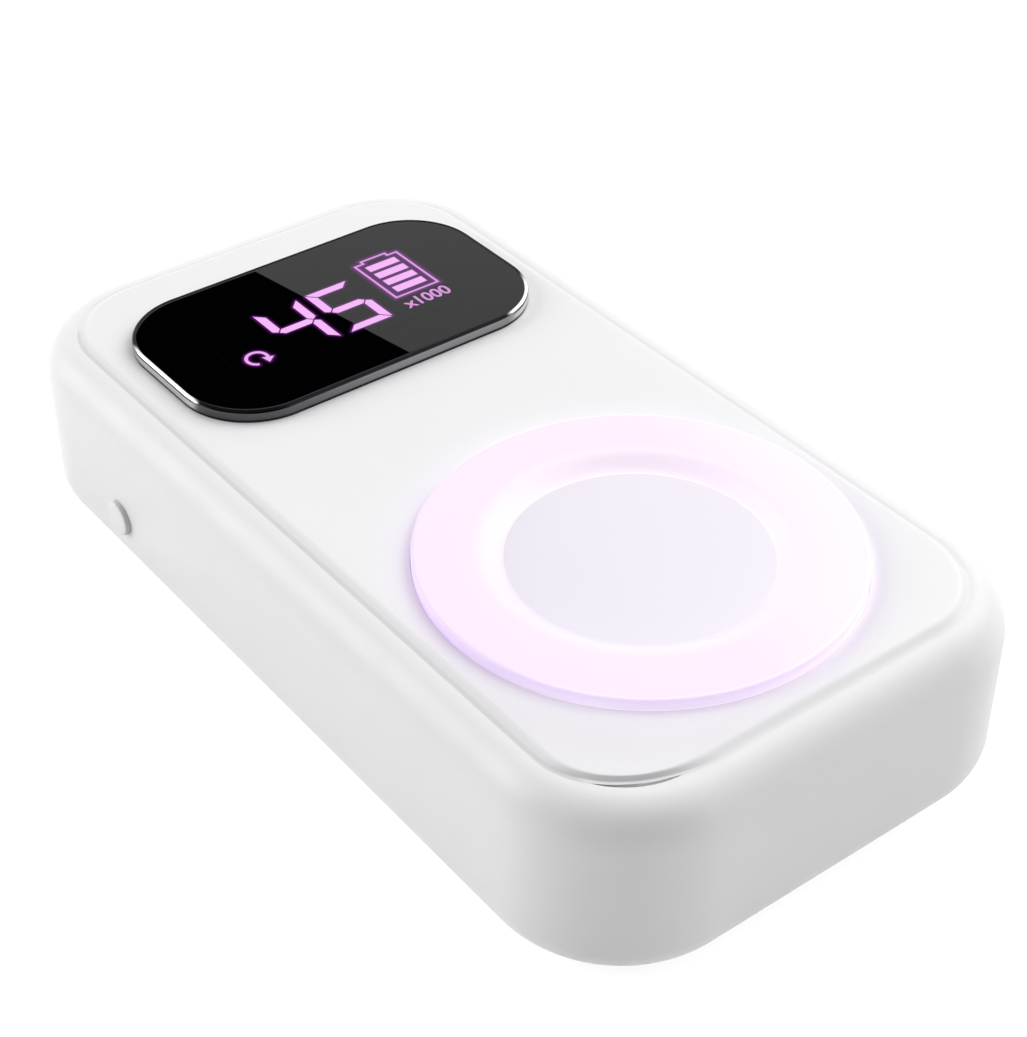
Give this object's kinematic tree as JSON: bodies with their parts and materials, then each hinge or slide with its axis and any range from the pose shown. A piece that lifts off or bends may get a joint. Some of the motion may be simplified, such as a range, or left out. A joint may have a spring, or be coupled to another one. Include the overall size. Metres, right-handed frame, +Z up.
{
  "type": "portable nail drill control box",
  "caption": "Flat white rechargeable box with rolled edges, a black readout in a chrome rim and a large glowing ring dial that turns and clicks; drives a nail drill handpiece.",
  "frame": {"origin": "on the table under the middle of the case", "axes": "+Z up; +Y along the case from the dial to the readout; the power button is on the -X wall"},
  "size_m": [0.0759, 0.139, 0.0313],
  "materials": {
    "white_case": "satin white moulding",
    "white_plate": "smooth white moulding",
    "glow_ring": "translucent, lit lilac from below",
    "dial_white": "satin white",
    "hub_plastic": "satin",
    "chrome_trim": "plated",
    "black_lens": "polished black",
    "lit_bars": "lit lilac",
    "module_black": "matt",
    "foot_rubber": "matt",
    "screw_steel": "zinc plated",
    "nickel_strip": "nickel",
    "board": "solder mask",
    "chip_black": "matt",
    "led_face": "clear over phosphor",
    "clear_guide": "clear, frosted top",
    "cell_wrap": "heat-shrunk sleeve",
    "cradle_plastic": "moulded",
    "adhesive": "foam tape",
    "ribbon": "flat flexible cable",
    "steel_shaft": "turned",
    "socket_metal": "nickel plated",
    "socket_black": "moulded",
    "capacitor_can": "drawn can",
    "choke": "ferrite"
  },
  "bodies": {
    "casing": {"main_case": "white_case", "bottom_cover": "white_case", "rubber_feet": "foot_rubber", "case_screws": "screw_steel", "top_plate": "white_plate", "plate_adhesive": "adhesive", "encoder_body": "socket_black", "click_dome": "nickel_strip", "light_guide": "clear_guide", "ring_leds": "led_face", "led_board": "board", "led_board_screws": "screw_steel", "control_board": "board", "control_chips": "chip_black", "control_board_screws": "screw_steel", "display_bezel": "chrome_trim", "lens_frame": "adhesive", "display_lens": "black_lens", "segment_bars": "lit_bars", "display_module": "module_black", "display_board": "board", "display_board_screws": "screw_steel", "battery_cells": "cell_wrap", "battery_cradle": "cradle_plastic", "battery_link": "nickel_strip", "battery_tabs": "nickel_strip", "power_board": "board", "power_board_screws": "screw_steel", "power_inductor": "choke", "power_capacitors": "capacitor_can", "ribbon_sockets": "chip_black", "control_ribbon": "ribbon", "display_ribbon": "ribbon", "side_switch": "socket_black", "charge_shell": "socket_metal", "charge_tongue": "socket_black", "handpiece_socket": "socket_black", "socket_collar": "socket_metal"},
    "dial_press": {"click_plunger": "hub_plastic"},
    "dial": {"dial_ring": "glow_ring", "dial_cap": "dial_white", "dial_hub": "hub_plastic", "encoder_shaft": "steel_shaft"},
    "button": {"power_button": "white_case", "switch_plunger": "hub_plastic"}
  },
  "joints": [
    {"name": "dial_click", "type": "slide", "parent": "casing", "child": "dial_press", "axis": [0, 0, -1], "range_m": [0, 0.0005], "stiffness_N_per_m": 6000, "springref_m": -0.00005, "deforming": ["click_dome"]},
    {"name": "dial_turn", "type": "hinge", "parent": "dial_press", "child": "dial", "pos_m": [0, -0.03145, 0.0274], "axis": [0, 0, 1], "continuous": true},
    {"name": "power_press", "type": "slide", "parent": "casing", "child": "button", "axis": [1, 0, 0], "range_m": [0, 0.0005], "stiffness_N_per_m": 4000, "springref_m": -0.00005}
  ]
}
